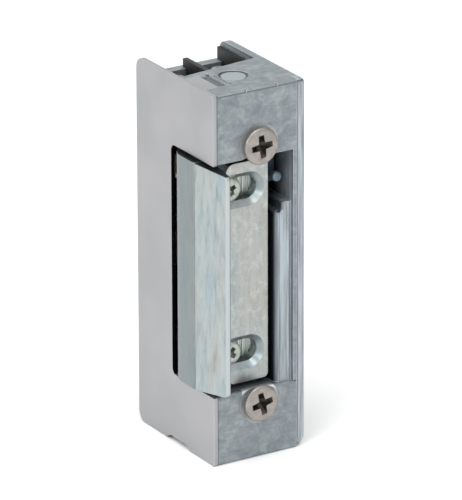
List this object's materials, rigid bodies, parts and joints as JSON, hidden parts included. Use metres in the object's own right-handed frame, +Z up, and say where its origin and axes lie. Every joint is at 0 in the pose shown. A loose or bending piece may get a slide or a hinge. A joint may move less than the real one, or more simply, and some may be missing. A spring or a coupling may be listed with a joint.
{
  "type": "electric door strike",
  "caption": "Compact electric door strike with a hinged, adjustable keeper, a coil-released locking lever and screw terminals, for mounting behind a frame faceplate.",
  "frame": {"origin": "centre of the housing's front face, the plane that the frame faceplate lies on", "axes": "+X across the width towards the solid side wall (cover plate at -X), -Y out of the front face, +Y into the door frame, +Z up along the long side, terminals at the top"},
  "size_m": [0.0217, 0.0314, 0.075],
  "materials": {
    "die_cast_zinc": "satin",
    "cover_sheet": "satin",
    "zinc_plated_steel": "satin",
    "nickel_plated_steel": "satin",
    "spring_steel": "satin",
    "soft_iron": "satin",
    "black_plastic": "matte",
    "natural_plastic": "matte",
    "enamelled_copper": "gloss",
    "yellow_tape": "satin",
    "brass": "satin"
  },
  "bodies": {
    "housing": {"housing_casting": "die_cast_zinc", "cover_plate": "cover_sheet", "keeper_pivot_pin": "zinc_plated_steel", "faceplate_screws": "nickel_plated_steel", "lever_pivot_pin": "spring_steel", "lever_spring": "spring_steel", "armature_hinge_pin": "spring_steel", "armature_spring": "spring_steel", "yoke": "soft_iron", "core": "soft_iron", "coil_bobbin": "natural_plastic", "coil_winding": "enamelled_copper", "coil_wrap": "yellow_tape", "coil_leads": "enamelled_copper", "terminal_carrier": "black_plastic", "terminal_contacts": "brass", "terminal_clamps": "nickel_plated_steel", "terminal_screws": "nickel_plated_steel", "slider_guide_pin": "spring_steel", "keeper_return_spring": "spring_steel"},
    "keeper": {"keeper_base": "zinc_plated_steel", "jaw_screws": "zinc_plated_steel"},
    "jaw": {"keeper_jaw": "zinc_plated_steel"},
    "locking_lever": {"locking_lever": "zinc_plated_steel"},
    "armature": {"armature": "soft_iron", "armature_shim": "brass"},
    "hold_open_slider": {"hold_open_slider": "spring_steel", "slider_button": "nickel_plated_steel"}
  },
  "joints": [
    {"name": "keeper_swing", "type": "hinge", "parent": "housing", "child": "keeper", "pos_m": [-0.0074, 0.0102, 0], "axis": [0, 0, -1], "range_deg": [0, 50], "stiffness_Nm_per_rad": 0.02, "springref_deg": -28.65, "deforming": ["keeper_return_spring"]},
    {"name": "jaw_adjust", "type": "slide", "parent": "keeper", "child": "jaw", "axis": [-1, 0, 0], "range_m": [0, 0.0032]},
    {"name": "lever_release", "type": "hinge", "parent": "housing", "child": "locking_lever", "pos_m": [-0.00325, 0.02, -0.018], "axis": [-1, 0, 0], "range_deg": [0, 5.4], "deforming": ["lever_spring"]},
    {"name": "armature_lift", "type": "hinge", "parent": "housing", "child": "armature", "pos_m": [0.0072, 0.0206, 0.0121], "axis": [0, 1, 0], "range_deg": [0, 10], "deforming": ["armature_spring"]},
    {"name": "hold_open_slide", "type": "slide", "parent": "housing", "child": "hold_open_slider", "axis": [0, 0, -1], "range_m": [0, 0.0022]}
  ],
  "couplings": [
    {"joint": "lever_release", "follows": "keeper_swing", "ratio": 0.108},
    {"joint": "armature_lift", "follows": "keeper_swing", "ratio": 0.2}
  ]
}
